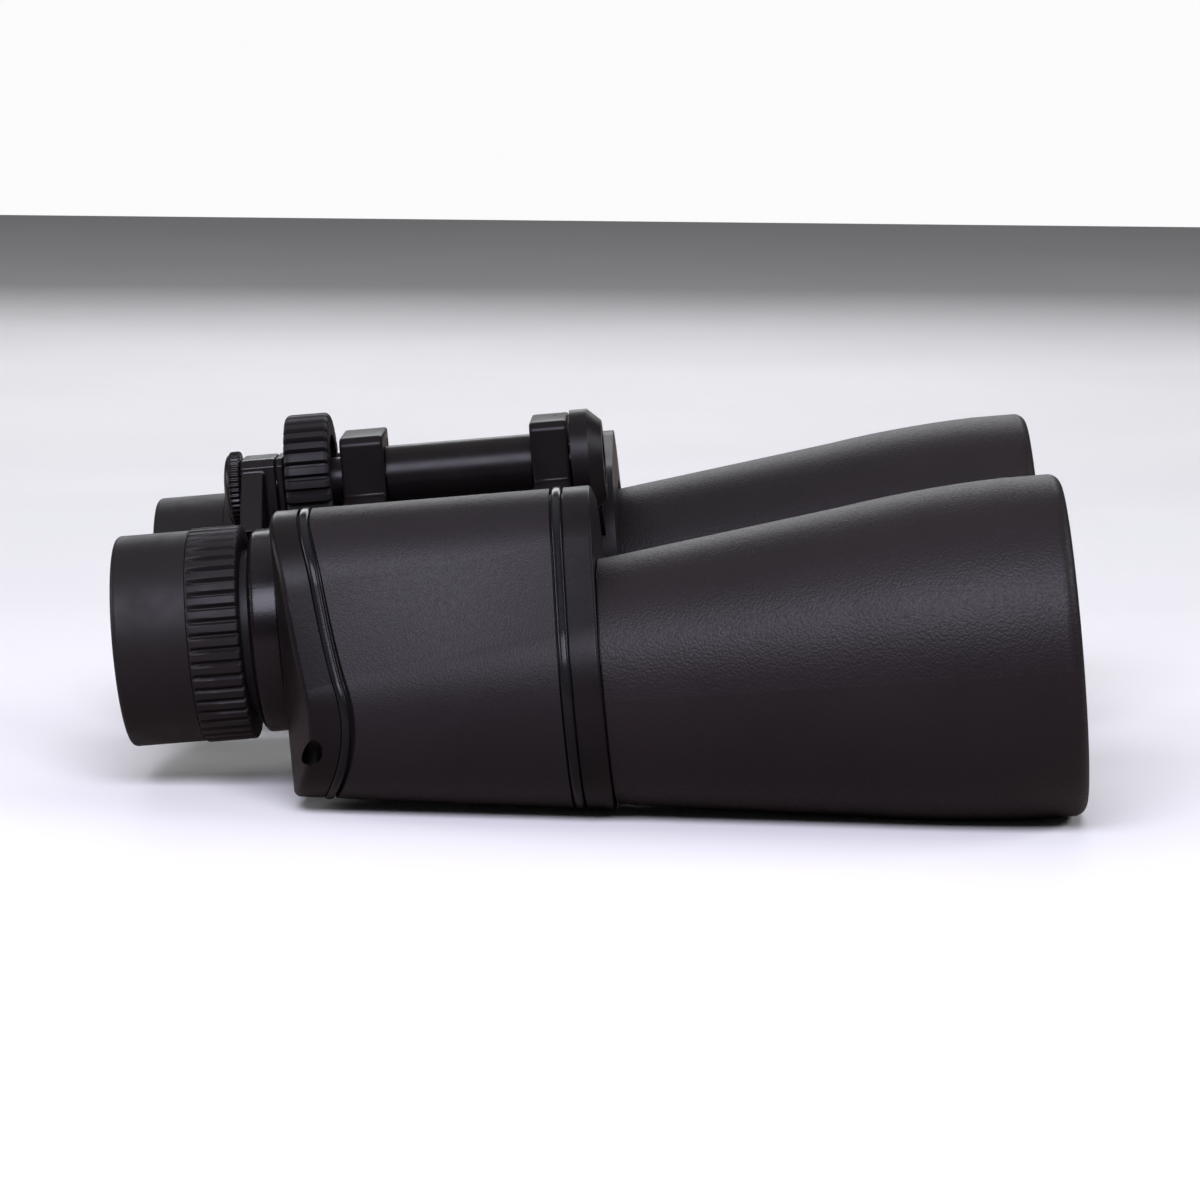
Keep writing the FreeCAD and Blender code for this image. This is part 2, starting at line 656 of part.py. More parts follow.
# ---------------------------------------------------------------- objective barrels
def barrel_outer(thinner):
    """The barrel's outer line from the neck to the rim, drawn in by a thickness."""
    return [
        (dim("barrel_root") - thinner, dim("neck_ring")),
        (dim("cone_radius") - thinner, dim("cone_end"), dim("barrel_bend"), -1),
        (dim("rim_radius") - thinner, dim("rim_start")),
    ]


def barrel_inner(thinner):
    """The same line read back from the rim to the neck."""
    root, cone, rim = barrel_outer(thinner)
    return [(rim[0], rim[1], cone[2], 1), (cone[0], cone[1]), (root[0], root[1])]


def make_barrel(side, word):
    """The objective tube, its rubber armour, the lens doublet, its cell and its ring."""
    x, z = objective_x * float(side), objective_z
    rubber = dim("rubber")
    tube = rubber + dim("glue_gap")
    inside = tube + dim("barrel_wall")
    rim = dim("rim_radius")
    front = dim("barrel_front")
    rounding = dim("rim_round")
    keep("barrel_armour_" + word, turned("barrel_armour_" + word, barrel_outer(ZERO) + [
        (rim, front - rounding, rounding, -1), (rim - rounding, front),
        (dim("lip_bore"), front), (dim("lip_bore"), dim("lip_back")),
        (rim - rubber, dim("lip_back")),
    ] + barrel_inner(rubber), x, z))
    spigot = dim("spigot_radius") - dim("glue_gap")
    neck_back = dim("glue_gap")
    neck_front = dim("neck_ring") - dim("glue_gap")
    keep("objective_barrel_" + word, turned("objective_barrel_" + word, [
        (dim("spigot_bore"), back("plate_thickness")), (spigot, back("plate_thickness")),
        (spigot, neck_back), (dim("neck_ring_radius"), neck_back),
        (dim("neck_ring_radius"), neck_front), (dim("barrel_root") - tube, neck_front),
    ] + barrel_outer(tube)[1:] + [
        (rim - tube, dim("barrel_end")), (rim - inside, dim("barrel_end")),
    ] + barrel_inner(inside), x, z))

    lens = dim("lens_radius") + dim("glue_gap")
    seat = rim - inside - dim("glue_gap")
    keep("objective_cell_" + word, turned("objective_cell_" + word, [
        (dim("lens_seat"), dim("cell_seat_back")), (lens, dim("cell_seat_back")),
        (seat, dim("rim_start")), (seat, dim("retainer_back")), (lens, dim("retainer_back")),
        (lens, dim("flint_back") - dim("cell_step")), (dim("lens_seat"), dim("flint_back") - dim("cell_step")),
    ], x, z))
    keep("objective_retainer_" + word, turned("objective_retainer_" + word, [
        (dim("retainer_bore"), dim("retainer_back")), (seat, dim("retainer_back")),
        (seat, dim("retainer_front")), (dim("retainer_bore") + dim("retainer_slope"), dim("retainer_front")),
    ], x, z))

    blank = cylinder("crown_blank_" + word, dim("lens_radius"), dim("flint_back"), dim("barrel_front"), x, z)
    front_ball = ball("crown_front_" + word, dim("crown_curve_front"),
                      dim("crown_top") - dim("crown_curve_front"), x, z)
    back_ball = ball("crown_back_" + word, dim("crown_curve_back"),
                     dim("crown_bottom") + dim("crown_curve_back"), x, z)
    keep("objective_crown_" + word, common("objective_crown_" + word, blank, front_ball, back_ball))
    flint_blank = cylinder("flint_blank_" + word, dim("lens_radius"), dim("flint_back"),
                           dim("flint_front"), x, z)
    keep("objective_flint_" + word, cut("objective_flint_" + word, flint_blank, back_ball))


# ---------------------------------------------------------------- eyepieces
def biconvex(name, radius, rear, edge, curve, x, z):
    """A lens with two equal convex faces and a cylindrical edge."""
    sag = curve.value - math.sqrt(curve.value ** 2 - radius.value ** 2)
    bulge = Size(sag, "(%s - sqrt(%s ^ 2 - %s ^ 2))" % (curve.text, curve.text, radius.text))
    blank = cylinder(name + "_blank", radius, rear - bulge, rear + edge + bulge, x, z)
    rear_ball = ball(name + "_rear", curve, rear - bulge + curve, x, z)
    front_ball = ball(name + "_front", curve, rear + edge + bulge - curve, x, z)
    return common(name, blank, rear_ball, front_ball)


def make_eyepiece(side, word):
    """The sliding eyepiece tube with its stop and lenses, and the rubber eyecup."""
    x, z = eyepiece_x * float(side), eyepiece_z
    screwed_in = dim("left_set") if side == LEFT else ZERO

    def ocular(name):
        return back(name) + screwed_in

    tube = dim("tube_radius")
    bore = dim("tube_bore")
    keep("eyepiece_tube_" + word, turned("eyepiece_tube_" + word, [
        (bore, back("tube_back")), (tube, back("tube_back")), (tube, back("tube_front")),
        (bore, back("tube_front")),
    ], x, z))
    keep("field_stop_" + word, ring("field_stop_" + word, dim("stop_bore"), bore - dim("glue_gap"),
                                    back("stop_back"), back("stop_front"), x, z))
    keep("field_lens_" + word, biconvex("field_lens_" + word, dim("field_lens_radius"),
                                        back("field_lens_back"), dim("field_lens_edge"),
                                        dim("field_lens_curve"), x, z))
    keep("ocular_cell_" + word, turned("ocular_cell_" + word, [
        (dim("cell_bore"), ocular("cell_back")),
        (dim("cell_radius") - dim("lens_shoulder"), ocular("cell_back")),
        (dim("cell_radius") - dim("lens_shoulder"), ocular("tube_back")),
        (dim("cell_radius"), ocular("tube_back")), (dim("cell_radius"), ocular("cell_front")),
        (dim("cell_bore") - dim("lens_shoulder"), ocular("cell_front")),
        (dim("cell_bore") - dim("lens_shoulder"), ocular("cell_lens_front")),
        (dim("cell_bore"), ocular("cell_lens_front")),
    ], x, z))
    keep("eye_lens_" + word, biconvex("eye_lens_" + word, dim("eye_lens_radius"),
                                      ocular("eye_lens_back"), dim("eye_lens_edge"),
                                      dim("eye_lens_curve"), x, z))
    cup = dim("cup_radius")
    rear = ocular("cup_back")
    lip = dim("cup_lip")
    keep("eyecup_" + word, turned("eyecup_" + word, [
        (dim("cup_mouth"), rear), (cup - lip, rear, lip, -1), (cup, rear + lip),
        (cup, ocular("cup_front")), (dim("dioptre_bore"), ocular("cup_front")),
        (dim("dioptre_bore"), ocular("cup_shelf")), (dim("cup_seat"), ocular("cup_shelf")),
        (dim("cup_seat"), ocular("cup_floor")), (dim("cup_mouth"), ocular("cup_floor")),
    ], x, z))
    collar = [
        (dim("dioptre_bore"), ocular("dioptre_back")), (dim("dioptre_radius"), ocular("dioptre_back")),
        (dim("dioptre_radius"), ocular("dioptre_front")), (dim("dioptre_bore"), ocular("dioptre_front")),
    ]
    if side == RIGHT:
        solid = turned("dioptre_solid", collar, x, z)
        tools = [radial_groove("dioptre_rib_%d" % index, dim("dioptre_radius"),
                               dim("dioptre_rib_depth"), dim("dioptre_rib_width"),
                               ocular("dioptre_back") - OVERRUN, ocular("dioptre_front") + OVERRUN,
                               360.0 * index / dim("dioptre_ribs").value, x, z)
                 for index in range(int(dim("dioptre_ribs").value))]
        keep("dioptre_ring_right", cut("dioptre_ring_right", solid, *tools))
    else:
        drop = dim("plain_drop")
        plain = [(r - drop, y) if r.value > tube.value + OVERRUN else (r, y) for r, y in collar]
        keep("eyepiece_sleeve_left", turned("eyepiece_sleeve_left", plain, x, z))


def radial_groove(name, radius, depth, width, rear, front, angle, x=0.0, z=0.0):
    """A box tool that cuts one groove along Y into a round rim."""
    box = doc.addObject("Part::Box", name)
    bind(box, "Length", depth * 3.0)
    bind(box, "Width", Size.of(front) - rear)
    bind(box, "Height", width * 2.0)
    rotation = Rotation(Vector(0, 1, 0), angle)
    corner = rotation.multVec(Vector((radius - depth).value, 0, -width.value))
    spot = Vector(Size.of(x).value + corner.x, Size.of(rear).value, Size.of(z).value + corner.z)
    box.Placement = FreeCAD.Placement(spot, rotation)
    return box


def make_bridge():
    """The two bridge arms that carry the eyepieces, stacked on the focusing spindle."""
    rear, middle = back("right_hub_back"), back("right_hub_front")
    front = back("left_hub_front")
    make_arm(RIGHT, "right", (rear, middle), (rear, back("right_arm_front")), (middle, front))
    make_arm(LEFT, "left", (back("left_hub_back"), front), (back("left_arm_back"), front),
             (rear, middle))


def make_arm(side, word, hub_span, arm_span, other_hub):
    """One bridge arm: hub on the spindle, arm, and the ring round the eyepiece tube."""
    x, z = eyepiece_x * float(side), eyepiece_z
    ring_radius = dim("ring_radius")
    bevel = dim("ring_bevel")
    clamp = turned("clamp_ring_" + word, [
        (dim("tube_radius"), back("ring_back")), (ring_radius - bevel, back("ring_back")),
        (ring_radius, back("ring_back") + bevel), (ring_radius, back("ring_front")),
        (dim("tube_radius"), back("ring_front")),
    ], x, z)
    half = dim("arm_half_width")
    reach = math.hypot(x.value, z.value)
    ux, uz = x.value / reach, z.value / reach
    out = dim("arm_reach")
    hub_flat = [(-uz * half.value, ux * half.value), (uz * half.value, -ux * half.value)]
    arm = plate("arm_" + word, [
        (Size.of(hub_flat[0][0]), Size.of(hub_flat[0][1])),
        (out * ux + hub_flat[0][0], out * uz + hub_flat[0][1]),
        (out * ux + hub_flat[1][0], out * uz + hub_flat[1][1]),
        (Size.of(hub_flat[1][0]), Size.of(hub_flat[1][1])),
    ], *arm_span)
    swing_room = cylinder("swing_room_" + word, dim("swing_radius"),
                          other_hub[0] - dim("swing_gap"), other_hub[1] + dim("swing_gap"))
    flat, top, corner = dim("hub_half"), dim("hub_top"), dim("hub_corner")
    hub = plate("hub_" + word, [
        (-flat, -top), (-flat, top - corner), (corner - flat, top),
        (flat - corner, top), (flat, top - corner), (flat, -top),
    ], *hub_span)
    bore = cylinder("hub_bore_" + word, dim("hub_bore"), hub_span[0] - OVERRUN,
                    hub_span[1] + OVERRUN)
    tube_room = cylinder("tube_room_" + word, dim("tube_radius"), back("cup_back"), ZERO, x, z)
    dioptre_room = cylinder("dioptre_room_" + word, dim("dioptre_room"), back("cup_back"),
                            back("dioptre_front") + dim("dioptre_travel"), x, z)
    bare_arm = cut("bare_arm_" + word, arm, swing_room, tube_room, dioptre_room)
    solid = fuse("bridge_solid_" + word, bare_arm, hub, clamp)
    keep("bridge_arm_" + word, cut("bridge_arm_" + word, solid, bore))


# ---------------------------------------------------------------- hinge axle and focusing gear
def make_centre():
    """The axle with its tripod socket, the spindle, the wheel and the end disc."""
    head_back = back("cap_back") - dim("seam")
    keep("hinge_axle", turned("hinge_axle", [
        (ZERO, -dim("socket_depth")), (dim("socket_radius"), -dim("socket_depth")),
        (dim("socket_radius"), ZERO), (dim("axle_head"), ZERO),
        (dim("axle_head"), head_back), (dim("axle_radius"), head_back),
        (dim("axle_radius"), back("axle_back")), (dim("axle_bore"), back("axle_back")),
        (dim("axle_bore"), back("axle_bore_front")), (ZERO, back("axle_bore_front")),
    ]))
    keep("focus_spindle", cylinder("focus_spindle", dim("spindle_radius"), back("disc_front"),
                                   back("spindle_front")))
    disc = cylinder("disc_blank", dim("disc_radius"), back("disc_back"), back("disc_front"))
    flutes = [radial_groove("disc_flute_%d" % index, dim("disc_radius"), dim("disc_flute"),
                            dim("disc_flute"), back("disc_back") - OVERRUN, back("disc_front") + OVERRUN,
                            360.0 * index / dim("disc_flutes").value)
              for index in range(int(dim("disc_flutes").value))]
    keep("bridge_end_disc", cut("bridge_end_disc", disc, *flutes))

    core = dim("wheel_core_radius")
    rear, front = back("wheel_back"), back("wheel_front")
    radius, rounding = dim("wheel_radius"), dim("wheel_round")
    grip = turned("wheel_blank", [
        (core, rear), (radius - rounding, rear, rounding, -1), (radius, rear + rounding),
        (radius, front - rounding, rounding, -1), (radius - rounding, front), (core, front),
    ])
    grooves = [radial_groove("wheel_groove_%d" % index, radius, dim("wheel_groove"),
                             dim("wheel_groove") / 2.0, rear - OVERRUN, front + OVERRUN,
                             360.0 * index / dim("wheel_grooves").value)
               for index in range(int(dim("wheel_grooves").value))]
    keep("focus_wheel_grip", cut("focus_wheel_grip", grip, *grooves))
    recess = dim("wheel_recess")
    keep("focus_wheel_core", ring("focus_wheel_core", dim("nut_radius"), core,
                                  rear + recess, front - recess))
    keep("focus_nut", ring("focus_nut", dim("hub_bore"), dim("nut_radius"), back("wheel_back"),
                           back("nut_front")))


def make_clips():
    """The spring strip that holds each rear prism down on the shelf."""
    lean = math.degrees(math.atan2((corner_z - objective_z).value, (corner_x - objective_x).value))
    tip = back("rear_prism_face") - dim("prism_shift") - dim("glue_gap")
    x = (objective_x + corner_x) / 2.0
    z = (objective_z + corner_z) / 2.0
    rear = tip - dim("clip_thickness")
    keep_pair("rear_prism_clip", clip("rear_clip", x.value, z.value, rear, tip, lean + 90.0))


make_housings()
make_wraps()
make_covers()
make_prisms()
make_clips()
for telescope, side_word in ((RIGHT, "right"), (LEFT, "left")):
    make_barrel(telescope, side_word)
    make_eyepiece(telescope, side_word)
make_bridge()
make_centre()
doc.recompute()


# ---------------------------------------------------------------- checks and export
def check_document():
    """Stop if any object failed, or if a sub-part's shape is missing or broken."""
    for item in doc.Objects:
        if "Invalid" in item.State or "Error" in item.State:
            raise RuntimeError("failed object: %s %s" % (item.Label, item.State))
    for node, shape in nodes.items():
        if shape.Shape.isNull() or not shape.Shape.isValid() or not shape.Shape.Solids:
            raise RuntimeError("bad shape: %s" % node)


check_document()
os.makedirs("parts", exist_ok=True)
for node, shape in nodes.items():
    shape.Shape.exportStep("parts/%s.step" % node)
print("%d sub-parts written" % len(nodes))
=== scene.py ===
"""Looks of the folded porro-prism binoculars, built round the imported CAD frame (metres)."""
import json
import math

import bmesh
import bpy
from mathutils import Matrix, Vector


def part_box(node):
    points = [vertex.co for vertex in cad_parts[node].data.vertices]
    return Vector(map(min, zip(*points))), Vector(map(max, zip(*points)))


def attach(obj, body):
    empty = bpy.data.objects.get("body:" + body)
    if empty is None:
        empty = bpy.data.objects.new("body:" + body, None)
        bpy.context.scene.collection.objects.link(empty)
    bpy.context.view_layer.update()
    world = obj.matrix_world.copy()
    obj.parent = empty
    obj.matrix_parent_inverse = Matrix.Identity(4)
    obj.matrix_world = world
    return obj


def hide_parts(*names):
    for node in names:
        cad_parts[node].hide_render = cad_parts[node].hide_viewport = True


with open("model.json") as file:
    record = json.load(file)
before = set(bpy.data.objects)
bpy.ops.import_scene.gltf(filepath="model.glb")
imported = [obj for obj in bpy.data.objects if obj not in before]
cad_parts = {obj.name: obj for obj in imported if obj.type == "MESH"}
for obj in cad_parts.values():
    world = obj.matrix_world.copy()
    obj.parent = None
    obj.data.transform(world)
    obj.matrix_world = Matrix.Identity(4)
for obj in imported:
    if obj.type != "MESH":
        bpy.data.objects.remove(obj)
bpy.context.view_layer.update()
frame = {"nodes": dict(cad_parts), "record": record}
MM = 0.001


# ---------------------------------------------------------------- materials
class Shader:
    """A small builder for one Principled material."""

    def __init__(self, name):
        self.material = bpy.data.materials.new(name)
        self.material.use_nodes = True
        self.tree = self.material.node_tree
        self.surface = self.tree.nodes["Principled BSDF"]
        self.place = self.tree.nodes.new("ShaderNodeTexCoord").outputs["Object"]

    def node(self, kind, **inputs):
        made = self.tree.nodes.new(kind)
        for name, value in inputs.items():
            self.feed(made.inputs[name.replace("_", " ")], value)
        return made

    def feed(self, socket, value):
        """Link a socket to a socket, or set its constant value."""
        if isinstance(value, bpy.types.NodeSocket):
            self.tree.links.new(value, socket)
        else:
            socket.default_value = value

    def set(self, **values):
        for name, value in values.items():
            self.feed(self.surface.inputs[name.replace("_", " ")], value)
        return self

    def noise(self, scale, detail=2.0, roughness=0.5):
        """Cloudy noise; scale is in cells per metre."""
        return self.node("ShaderNodeTexNoise", Vector=self.place, Scale=scale, Detail=detail,
                         Roughness=roughness).outputs["Fac"]

    def cells(self, scale, feature="SMOOTH_F1"):
        """Distance from the nearest cell centre; scale is in cells per metre."""
        made = self.node("ShaderNodeTexVoronoi", Vector=self.place, Scale=scale)
        made.feature = feature
        return made.outputs["Distance"]

    def span(self, value, low, high, to_low=0.0, to_high=1.0):
        """Map a value from one range to another, held within it."""
        made = self.tree.nodes.new("ShaderNodeMapRange")
        for name, number in (("Value", value), ("From Min", low), ("From Max", high),
                             ("To Min", to_low), ("To Max", to_high)):
            self.feed(made.inputs[name], number)
        return made.outputs["Result"]

    def ramp(self, fac, *stops):
        """A colour ramp over a value; a stop is (position, colour)."""
        made = self.node("ShaderNodeValToRGB", Fac=fac)
        ramp = made.color_ramp
        while len(ramp.elements) < len(stops):
            ramp.elements.new(0.5)
        for element, (spot, colour) in zip(ramp.elements, stops):
            element.position = spot
            element.color = (*colour, 1.0)
        return made.outputs["Color"]

    def maths(self, operation, *values):
        made = self.tree.nodes.new("ShaderNodeMath")
        made.operation = operation
        for socket, value in zip(made.inputs, values):
            self.feed(socket, value)
        return made.outputs[0]

    def bump(self, *layers):
        """Bump layers of (height, distance in metres, strength), each on the one before."""
        normal = None
        for height, distance, strength in layers:
            made = self.node("ShaderNodeBump", Height=height, Distance=distance, Strength=strength)
            if normal is not None:
                self.feed(made.inputs["Normal"], normal)
            normal = made.outputs["Normal"]
        self.feed(self.surface.inputs["Normal"], normal)
        return self


def shade(tint, factor):
    """A tint made darker or lighter."""
    return tuple(channel * factor for channel in tint)


def grained_rubber(name, cell, depth, tint):
    """Leather-grained black armour: rounded pebbles of a cell size, with fine creases between."""
    s = Shader(name)
    pebbles = s.cells(1.0 / cell)
    creases = s.cells(0.8 / cell, "F1")
    fine = s.noise(4200.0, 3.0, 0.6)
    blotch = s.noise(45.0, 3.0)
    dust = s.noise(900.0, 4.0, 0.7)
    wear = s.maths("ADD", s.maths("MULTIPLY", blotch, 0.7), s.maths("MULTIPLY", dust, 0.3))
    s.set(Base_Color=s.ramp(wear, (0.35, shade(tint, 0.82)), (0.68, shade(tint, 1.22))))
    s.set(Roughness=s.span(s.maths("ADD", dust, pebbles), 0.4, 1.3, 0.40, 0.54))
    s.set(Specular_IOR_Level=0.22, IOR=1.5)
    s.bump((pebbles, depth, 0.9), (creases, depth * 0.4, 0.3), (fine, 0.00002, 0.4))
    return s.material


def smooth_rubber(name, tint):
    """Matt moulded rubber with a faint bloom and tiny pits."""
    s = Shader(name)
    bloom = s.noise(60.0, 3.0)
    pits = s.noise(3200.0, 3.0, 0.6)
    s.set(Base_Color=s.ramp(bloom, (0.35, shade(tint, 0.85)), (0.7, shade(tint, 1.2))))
    s.set(Roughness=s.span(s.noise(220.0, 3.0), 0.3, 0.7, 0.48, 0.6))
    s.set(Specular_IOR_Level=0.24, IOR=1.5)
    s.bump((pits, 0.00003, 0.5))
    return s.material


def satin_paint(name, tint, rough=0.34, orange_peel=0.00003, shine=0.2):
    """Satin black paint on metal: fine orange peel, slight rub marks."""
    s = Shader(name)
    peel = s.noise(1500.0, 2.0, 0.5)
    cloud = s.noise(80.0, 4.0, 0.6)
    s.set(Base_Color=s.ramp(cloud, (0.35, shade(tint, 0.88)), (0.7, shade(tint, 1.15))))
    s.set(Roughness=s.span(cloud, 0.3, 0.7, rough - 0.05, rough + 0.07))
    s.set(Specular_IOR_Level=shine, IOR=1.5)
    s.bump((peel, orange_peel, 0.6))
    return s.material


def polished_black(name):
    """Gloss black trim with hairline swirl marks."""
    s = Shader(name)
    swirl = s.noise(700.0, 5.0, 0.7)
    s.set(Base_Color=s.ramp(s.noise(60.0), (0.3, (0.006, 0.006, 0.007)), (0.7, (0.011, 0.011, 0.012))))
    s.set(Roughness=s.span(swirl, 0.3, 0.75, 0.16, 0.24))
    s.set(Specular_IOR_Level=0.13, IOR=1.5)
    s.bump((swirl, 0.000004, 0.4))
    return s.material


def turned_metal(name, tint, rough):
    """Machined metal with fine turning lines round its axis."""
    s = Shader(name)
    along = s.node("ShaderNodeSeparateXYZ", Vector=s.place).outputs["Y"]
    lines = s.node("ShaderNodeTexNoise", Scale=2600.0, Detail=3.0)
    lines.noise_dimensions = "1D"
    s.feed(lines.inputs["W"], along)
    grain = lines.outputs["Fac"]
    s.set(Base_Color=s.ramp(s.noise(120.0, 3.0), (0.3, shade(tint, 0.85)), (0.7, shade(tint, 1.1))))
    s.set(Metallic=1.0, Roughness=s.span(grain, 0.3, 0.7, rough - 0.07, rough + 0.08))
    s.bump((grain, 0.000006, 0.5))
    return s.material


def coated_glass(name, tint):
    """Optical glass with a coloured anti-reflection coating."""
    s = Shader(name)
    s.set(Base_Color=s.ramp(s.noise(30.0), (0.3, (0.93, 0.97, 0.96)), (0.7, (0.97, 0.99, 0.98))))
    s.set(Roughness=s.span(s.noise(500.0, 4.0, 0.7), 0.35, 0.8, 0.01, 0.035))
    s.set(Transmission_Weight=1.0, IOR=1.52, Specular_Tint=(*tint, 1.0))
    return s.material


MATERIALS = {
    "armour_rubber": grained_rubber("armour_grain", 0.0003, 0.00004, (0.0096, 0.0072, 0.0088)),
    "barrel_rubber": grained_rubber("barrel_grain", 0.00042, 0.00007, (0.0094, 0.0066, 0.0078)),
    "cup_rubber": smooth_rubber("eyecup_rubber", (0.0078, 0.0058, 0.0064)),
    "wheel_rubber": smooth_rubber("wheel_rubber", (0.0074, 0.006, 0.0068)),
    "cover_metal": satin_paint("satin_cover", (0.0078, 0.006, 0.0066), 0.36, 0.00003, 0.12),
    "housing_metal": satin_paint("satin_housing", (0.0062, 0.0048, 0.005), 0.3, 0.00002, 0.14),
    "bridge_metal": satin_paint("satin_bridge", (0.007, 0.0052, 0.006), 0.26, 0.00002, 0.22),
    "barrel_metal": satin_paint("matt_barrel", (0.012, 0.012, 0.013), 0.45),
    "cell_metal": satin_paint("matt_cell", (0.010, 0.010, 0.011), 0.5),
    "gloss_trim": polished_black("polished_trim"),
    "steel": turned_metal("turned_steel", (0.55, 0.55, 0.56), 0.28),
    "glass": coated_glass("coated_glass", (0.55, 0.30, 0.85)),
}


def dress_cad_nodes():
    """Every CAD node takes the material of its slot."""
    for part in frame["record"]["subparts"]:
        node = frame["nodes"][part["node"]]
        node.data.materials.clear()
        node.data.materials.append(MATERIALS[part["material_slot"]])


# ---------------------------------------------------------------- pieces
RIM_TRIM = 0.3 * MM
RIB_STEPS = 12
FLUTE_STEPS = 8
RING_CREASE = 55.0
SKIN_CREASE = 40.0
# The block lugs' skins, all in mm: the outline as (x, z) corners clockwise from its top, on a
# short stub of web, the rear and front stations, and how far the skin stands proud, is rounded,
# and reaches in round its open centre.
LUG_LINE = ((-8.0, 8.7), (6.8, 8.7), (8.0, 7.5), (8.0, -2.5), (14.5, -3.58), (14.5, -12.0),
            (13.0, -15.58), (-2.5, -9.0), (-8.0, -4.8))
LUG_STATIONS = {"rear_lug_skin": (-48.1, -40.2), "front_lug_skin": (-12.0, -5.2)}
SKIN_STEP = 0.14
SKIN_ROUNDING = 0.55
SKIN_LIP = 1.2


def add_object(name, data):
    """Put a new object with this data in the scene."""
    made = bpy.data.objects.new(name, data)
    bpy.context.collection.objects.link(made)
    return made


def smooth_step(low, high, value):
    """0 below low, 1 above high, and a smooth rise between."""
    share = min(1.0, max(0.0, (value - low) / (high - low)))
    return share * share * (3.0 - 2.0 * share)


def quarter(parts):
    """Angles that divide a quarter turn into equal parts, with both ends."""
    return [part / parts * math.pi / 2 for part in range(parts + 1)]


def full_turn(parts):
    """Angles that divide a full turn into equal parts."""
    return [2 * math.pi * part / parts for part in range(parts)]


def new_piece(name, made, crease, slot, body):
    """A smooth-shaded object from a closed bmesh, sharp where it turns by more than crease degrees."""
    bmesh.ops.recalc_face_normals(made, faces=made.faces)
    for face in made.faces:
        face.smooth = True
    for edge in made.edges:
        edge.smooth = edge.calc_face_angle() <= math.radians(crease)
    mesh = bpy.data.meshes.new(name)
    made.to_mesh(mesh)
    made.free()
    mesh.materials.append(MATERIALS[slot])
    piece = add_object(name, mesh)
    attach(piece, body)
    return piece


def round_box(node):
    """A round CAD node's rear and front stations, its centre (x, z) and its radius."""
    low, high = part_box(node)
    centre = ((low.x + high.x) / 2, (low.z + high.z) / 2)
    return low.y, high.y, centre, (high.z - low.z) / 2


def loop_at(y, centre, turns, reaches):
    """One loop of points round an axis along Y."""
    return [(centre[0] + reach * math.cos(turn), y, centre[1] + reach * math.sin(turn))
            for turn, reach in zip(turns, reaches)]


def swept(loops, joined):
    """A closed bmesh through equal loops of points: joined end to end, or capped at both ends."""
    made = bmesh.new()
    rows = [[made.verts.new(point) for point in loop] for loop in loops]
    count = len(rows[0])
    for here, ahead in zip(rows, rows[1:] + rows[:1] if joined else rows[1:]):
        for column in range(count):
            beside = (column + 1) % count
            made.faces.new((here[column], here[beside], ahead[beside], ahead[column]))
    if not joined:
        made.faces.new(rows[0])
        made.faces.new(rows[-1])
    return made


def ribbed_ring(node, body, slot, ribs, depth, bore, rounding, groove, fade):
    """A finely ribbed ring in place of a CAD ring: rounded ribs, rounded rims, an open bore.

    groove is the groove's half width and its shoulder, as shares of one rib's pitch; fade is how
    far from the rear rim the grooves grow to full depth, or 0."""
    rear, front, centre, radius = round_box(node)
    front -= RIM_TRIM
    turns = full_turn(ribs * RIB_STEPS)
    shares = [(index % RIB_STEPS) / RIB_STEPS for index in range(len(turns))]
    cuts = [1.0 - smooth_step(groove[0], groove[1], min(share, 1.0 - share)) for share in shares]
    rim = [(rounding * (1 - math.cos(lean)), rounding * (1 - math.sin(lean))) for lean in quarter(5)]
    line = [(rear + inset, drop) for inset, drop in rim]
    line += [(rear + (front - rear) * share, 0.0) for share in (0.2, 0.5, 0.8)]
    line += [(front - inset, drop) for inset, drop in reversed(rim)]
    loops = []
    for y, drop in line:
        cut_depth = depth * (smooth_step(0.0, 1.0, (y - rear) / fade) if fade else 1.0)
        loops.append(loop_at(y, centre, turns, [radius - drop - cut_depth * cut for cut in cuts]))
    loops += [loop_at(y, centre, turns, [bore] * len(turns)) for y in (front, rear)]
    ring = new_piece(node + "_ribbed", swept(loops, True), RING_CREASE, slot, body)
    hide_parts(node)


def domed_disc(node, body, slot, flutes, depth, dome):
    """The bridge's end disc: a fluted rim, and a low dome that bulges to the eye side."""
    rear, front, centre, radius = round_box(node)
    turns = full_turn(flutes * FLUTE_STEPS)
    waves = [0.5 + 0.5 * math.cos(turn * flutes) for turn in turns]
    rim = 0.5 * MM
    pole = 0.3 * MM
    line = [(pole, rear - dome)]
    line += [(radius * 0.92 * math.sin(lean), rear - dome * math.cos(lean))
             for lean in quarter(12)[1:-1]]
    line += [(radius * 0.93, rear + 0.3 * rim)]
    line += [(radius - rim + rim * math.sin(lean), rear + rim * (1.2 - math.cos(lean)))
             for lean in quarter(4)]
    line += [(radius - rim + rim * math.cos(lean), front - rim * (1 - math.sin(lean)))
             for lean in quarter(4)]
    line += [(radius * 0.5, front), (pole, front)]
    loops = []
    for reach, y in line:
        cut = depth * smooth_step(radius - 1.2 * rim, radius, reach)
        loops.append(loop_at(y, centre, turns, [reach - cut * wave for wave in waves]))
    disc = new_piece(node + "_domed", swept(loops, False), RING_CREASE, slot, body)
    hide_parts(node)


